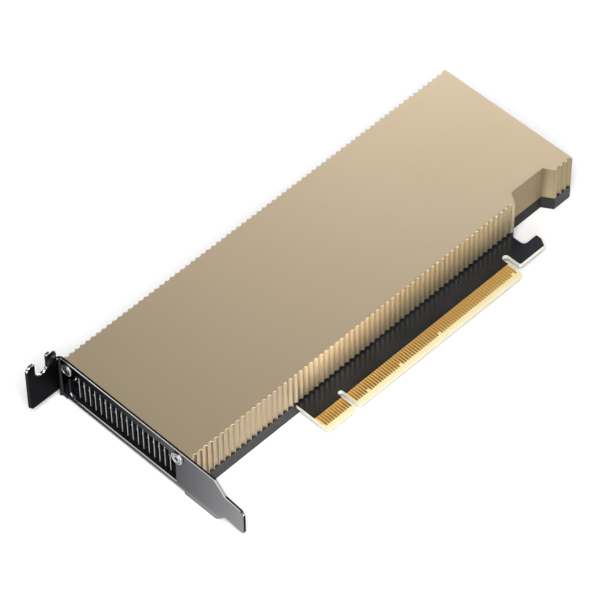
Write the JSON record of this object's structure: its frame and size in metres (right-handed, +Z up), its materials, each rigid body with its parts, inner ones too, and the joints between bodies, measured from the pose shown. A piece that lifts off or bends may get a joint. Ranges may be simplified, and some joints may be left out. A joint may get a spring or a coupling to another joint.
{
  "type": "passive accelerator card",
  "caption": "Half-height add-in accelerator card with a fluted metal shroud, a fin stack, a keyed contact tongue, a retention hook and a slot bracket with a vent window.",
  "frame": {"origin": "middle of the card's bounding box, on the underside of the tray that it lies on", "axes": "+X from the slot bracket to the rear end, +Y from the contact tongue across the card, +Z up out of the shroud's flat face"},
  "size_m": [0.1792, 0.0792, 0.0238],
  "materials": {
    "champagne_aluminium": "bead-blasted, champagne anodised",
    "black_aluminium": "satin black",
    "plated_steel": "bright nickel plating on steel",
    "screw_steel": "zinc plated",
    "black_screw_steel": "black oxide",
    "board_laminate": "glossy black solder mask on laminate",
    "contact_gold": "hard gold plating",
    "insulator_film": "matt film",
    "fin_aluminium": "plain rolled sheet",
    "base_copper": "machined copper",
    "package_laminate": "green laminate",
    "silicon": "polished silicon",
    "stiffener_steel": "satin",
    "grey_paste": "grey paste",
    "pad_silicone": "soft grey silicone",
    "chip_mould": "black moulding compound",
    "inductor_mould": "dark grey pressed powder",
    "capacitor_can": "bare can",
    "crystal_can": "bare lid"
  },
  "bodies": {
    "root": {"board": "board_laminate", "bracket": "plated_steel", "bracket_screw_1": "screw_steel", "bracket_screw_2": "screw_steel", "clock_crystal": "crystal_can", "contacts_component_side": "contact_gold", "contacts_solder_side": "contact_gold", "fin_stack": "fin_aluminium", "firmware_chip": "chip_mould", "heatsink_base": "base_copper", "heatsink_screw_1": "screw_steel", "heatsink_screw_2": "screw_steel", "heatsink_screw_3": "screw_steel", "heatsink_screw_4": "screw_steel", "inductor_1": "inductor_mould", "inductor_2": "inductor_mould", "inductor_3": "inductor_mould", "inductor_4": "inductor_mould", "inductor_5": "inductor_mould", "inductor_6": "inductor_mould", "insulator_sheet": "insulator_film", "memory_chip_1": "chip_mould", "memory_chip_2": "chip_mould", "memory_chip_3": "chip_mould", "memory_chip_4": "chip_mould", "memory_chip_5": "chip_mould", "memory_chip_6": "chip_mould", "memory_chip_7": "chip_mould", "memory_chip_8": "chip_mould", "memory_pad_front": "pad_silicone", "memory_pad_rear": "pad_silicone", "package_die": "silicon", "package_stiffener": "stiffener_steel", "package_substrate": "package_laminate", "polymer_capacitor_1": "capacitor_can", "polymer_capacitor_2": "capacitor_can", "polymer_capacitor_3": "capacitor_can", "polymer_capacitor_4": "capacitor_can", "polymer_capacitor_5": "capacitor_can", "power_controller": "chip_mould", "power_pad": "pad_silicone", "power_stage_1": "chip_mould", "power_stage_2": "chip_mould", "power_stage_3": "chip_mould", "power_stage_4": "chip_mould", "power_stage_5": "chip_mould", "power_stage_6": "chip_mould", "shroud": "champagne_aluminium", "thermal_paste": "grey_paste", "tray": "black_aluminium", "tray_screw_1": "black_screw_steel", "tray_screw_2": "black_screw_steel", "tray_screw_3": "black_screw_steel", "tray_screw_4": "black_screw_steel"}
  },
  "joints": []
}
